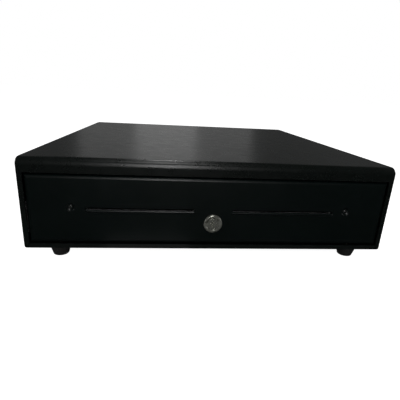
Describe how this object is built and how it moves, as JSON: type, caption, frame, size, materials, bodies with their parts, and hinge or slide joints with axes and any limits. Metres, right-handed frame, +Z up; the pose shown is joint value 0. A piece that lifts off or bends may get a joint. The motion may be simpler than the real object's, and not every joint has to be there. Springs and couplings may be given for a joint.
{
  "type": "cash drawer",
  "caption": "Low black steel point-of-sale cash drawer with keyed front, two media slots, a lift-out till with coin cups and clipped note bays, on rubber feet.",
  "frame": {"origin": "on the floor under the middle of the whole drawer's box", "axes": "+Z up, the front faces -Y, +X to the right of someone facing the front"},
  "size_m": [0.41, 0.419, 0.113],
  "materials": {
    "black_coat": "fine-textured black powder coat, semi-gloss",
    "front_coat": "smooth black powder coat, semi-gloss",
    "zinc_sheet": "zinc-plated sheet steel",
    "slide_steel": "bright zinc slide steel",
    "ball_steel": "polished ball steel",
    "rivet_steel": "bright steel rivets",
    "black_screw": "black zinc screws",
    "zinc_screw": "zinc screws",
    "lock_nickel": "satin nickel plate",
    "cam_steel": "zinc-plated steel",
    "spring_steel": "spring steel",
    "foot_rubber": "black rubber",
    "till_plastic": "textured black ABS",
    "clip_plastic": "black acetal",
    "rod_steel": "bright steel rod",
    "coil_wrap": "lacquered copper winding under tape",
    "plunger_steel": "ground steel",
    "switch_plastic": "black thermoplastic",
    "button_plastic": "red thermoplastic",
    "board_laminate": "glass-epoxy laminate",
    "loom_pvc": "black PVC sleeving"
  },
  "bodies": {
    "cabinet": {"top_cover": "black_coat", "base_pan": "black_coat", "rear_panel": "black_coat", "cover_screws": "black_screw", "rear_panel_screws": "black_screw", "rubber_feet": "foot_rubber", "foot_screws": "zinc_screw", "cabinet_slide_left": "slide_steel", "cabinet_slide_right": "slide_steel", "slide_rivets": "rivet_steel", "rear_brackets": "zinc_sheet", "bracket_screws": "zinc_screw", "stop_buffers": "foot_rubber", "spring_guides": "cam_steel", "ejector_springs": "spring_steel", "latch_bracket": "zinc_sheet", "latch_pivot_pin": "cam_steel", "solenoid_frame": "cam_steel", "solenoid_coil": "coil_wrap", "plunger_spring": "spring_steel", "open_sensor": "switch_plastic", "sensor_hinge": "spring_steel", "interface_socket": "switch_plastic", "interface_board": "board_laminate", "board_bracket": "zinc_sheet", "wire_loom": "loom_pvc"},
    "drawer": {"drawer_tray": "zinc_sheet", "drawer_front": "front_coat", "front_screws": "black_screw", "drawer_slide_left": "slide_steel", "drawer_slide_right": "slide_steel", "tray_rivets": "rivet_steel", "media_guides": "zinc_sheet", "till_rails": "zinc_sheet", "lock_barrel": "lock_nickel", "lock_nut": "lock_nickel", "striker_bracket": "zinc_sheet", "striker_pin": "cam_steel", "till_insert": "till_plastic", "note_dividers": "till_plastic", "clip_rod": "rod_steel"},
    "slide_cages": {"ball_cages": "slide_steel", "slide_balls": "ball_steel"},
    "lock_rotor": {"lock_plug": "lock_nickel", "lock_cam": "cam_steel", "cam_screw": "zinc_screw"},
    "coin_insert": {"coin_tray": "till_plastic"},
    "latch": {"latch_lever": "cam_steel"},
    "plunger": {"solenoid_plunger": "plunger_steel", "plunger_pin": "cam_steel", "plunger_clip": "cam_steel"},
    "sensor_arm": {"sensor_lever": "spring_steel"},
    "sensor_push": {"sensor_button": "button_plastic"},
    "clip_1": {"note_clip_1": "clip_plastic"},
    "clip_2": {"note_clip_2": "clip_plastic"},
    "clip_3": {"note_clip_3": "clip_plastic"},
    "clip_4": {"note_clip_4": "clip_plastic"},
    "clip_5": {"note_clip_5": "clip_plastic"}
  },
  "joints": [
    {"name": "drawer_slide", "type": "slide", "parent": "cabinet", "child": "drawer", "axis": [0, -1, 0], "range_m": [0, 0.27]},
    {"name": "cage_travel", "type": "slide", "parent": "cabinet", "child": "slide_cages", "axis": [0, -1, 0], "range_m": [0, 0.135]},
    {"name": "lock_turn", "type": "hinge", "parent": "drawer", "child": "lock_rotor", "pos_m": [0, -0.197, 0.044], "axis": [0, 1, 0], "range_deg": [0, 90]},
    {"name": "coin_tray_lift", "type": "slide", "parent": "drawer", "child": "coin_insert", "axis": [0, 0, 1], "range_m": [0, 0.016]},
    {"name": "latch_turn", "type": "hinge", "parent": "cabinet", "child": "latch", "pos_m": [0, 0.169, 0.064], "axis": [1, 0, 0], "range_deg": [0, 20]},
    {"name": "plunger_pull", "type": "slide", "parent": "cabinet", "child": "plunger", "axis": [0, 0, 1], "range_m": [0, 0.00767], "deforming": ["plunger_spring"]},
    {"name": "sensor_turn", "type": "hinge", "parent": "cabinet", "child": "sensor_arm", "pos_m": [0.105, 0.1434, 0.036], "axis": [-1, 0, 0], "range_deg": [0, 4], "stiffness_Nm_per_rad": 0.01, "springref_deg": -5.73},
    {"name": "sensor_press", "type": "slide", "parent": "cabinet", "child": "sensor_push", "axis": [0, 1, 0], "range_m": [0, 0.00085]},
    {"name": "clip_1_lift", "type": "hinge", "parent": "drawer", "child": "clip_1", "pos_m": [-0.148, 0.111, 0.084], "axis": [-1, 0, 0], "range_deg": [0, 45], "stiffness_Nm_per_rad": 0.03, "springref_deg": -28.65},
    {"name": "clip_2_lift", "type": "hinge", "parent": "drawer", "child": "clip_2", "pos_m": [-0.074, 0.111, 0.084], "axis": [-1, 0, 0], "range_deg": [0, 45], "stiffness_Nm_per_rad": 0.03, "springref_deg": -28.65},
    {"name": "clip_3_lift", "type": "hinge", "parent": "drawer", "child": "clip_3", "pos_m": [0, 0.111, 0.084], "axis": [-1, 0, 0], "range_deg": [0, 45], "stiffness_Nm_per_rad": 0.03, "springref_deg": -28.65},
    {"name": "clip_4_lift", "type": "hinge", "parent": "drawer", "child": "clip_4", "pos_m": [0.074, 0.111, 0.084], "axis": [-1, 0, 0], "range_deg": [0, 45], "stiffness_Nm_per_rad": 0.03, "springref_deg": -28.65},
    {"name": "clip_5_lift", "type": "hinge", "parent": "drawer", "child": "clip_5", "pos_m": [0.148, 0.111, 0.084], "axis": [-1, 0, 0], "range_deg": [0, 45], "stiffness_Nm_per_rad": 0.03, "springref_deg": -28.65}
  ],
  "couplings": [
    {"joint": "cage_travel", "follows": "drawer_slide", "ratio": 0.5},
    {"joint": "latch_turn", "follows": "plunger_pull", "rad_per_m": 45.455},
    {"joint": "sensor_press", "follows": "sensor_turn", "m_per_rad": 0.012}
  ]
}
